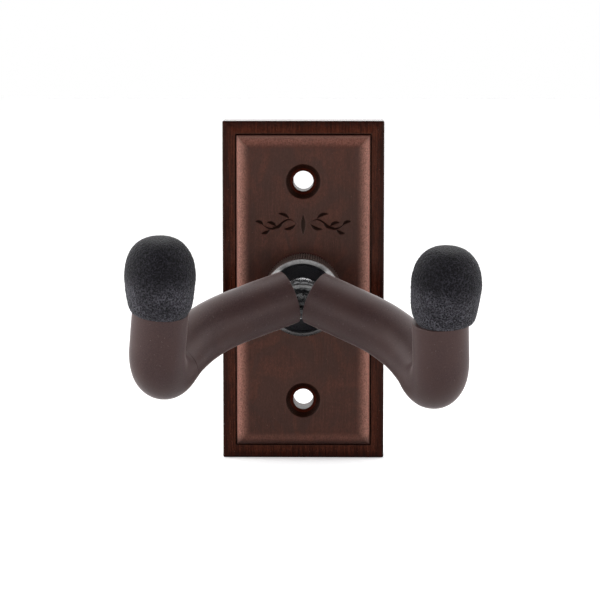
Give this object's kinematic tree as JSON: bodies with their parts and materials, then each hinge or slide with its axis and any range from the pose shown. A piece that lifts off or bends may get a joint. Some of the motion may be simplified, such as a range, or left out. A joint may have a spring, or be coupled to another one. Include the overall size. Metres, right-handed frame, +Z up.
{
  "type": "wall guitar hanger",
  "caption": "Wall guitar hanger: raised-panel wooden plate, knurled round collar, and a swivelling bent-rod yoke with foam sleeves and foam end caps.",
  "frame": {"origin": "centre of the plate's back face, where it meets the wall", "axes": "+Z up along the plate, +Y into the wall, the yoke stands out along -Y, +X to the right of a viewer who faces the wall"},
  "size_m": [0.1215, 0.115, 0.126],
  "materials": {
    "dark_wood": "dark stained, satin clear coat",
    "black_collar": "black, knurled side, bright bevelled front rim",
    "white_nylon": "moulded matte",
    "zinc_steel": "zinc plated, satin",
    "dark_spring_steel": "oiled spring steel",
    "blue_nylon": "moulded matte",
    "weld_steel": "black painted weld, bright on the ripples",
    "black_rod": "gloss black",
    "sleeve_foam": "matte foam tube",
    "cap_foam": "grainy matte foam"
  },
  "bodies": {
    "plate": {"back_plate": "dark_wood", "swivel_collar": "black_collar", "front_bushing": "white_nylon", "rear_bushing": "white_nylon"},
    "yoke": {"pivot_stud": "zinc_steel", "thrust_washer": "zinc_steel", "rear_washer": "zinc_steel", "spring_washer": "dark_spring_steel", "lock_nut": "zinc_steel", "nut_insert": "blue_nylon", "weld_bead": "weld_steel", "yoke_rod": "black_rod", "left_sleeve": "sleeve_foam", "right_sleeve": "sleeve_foam", "left_end_cap": "cap_foam", "right_end_cap": "cap_foam"}
  },
  "joints": [
    {"name": "yoke_swivel", "type": "hinge", "parent": "plate", "child": "yoke", "pos_m": [0, -0.04, 0], "axis": [0, -1, 0], "continuous": true}
  ]
}
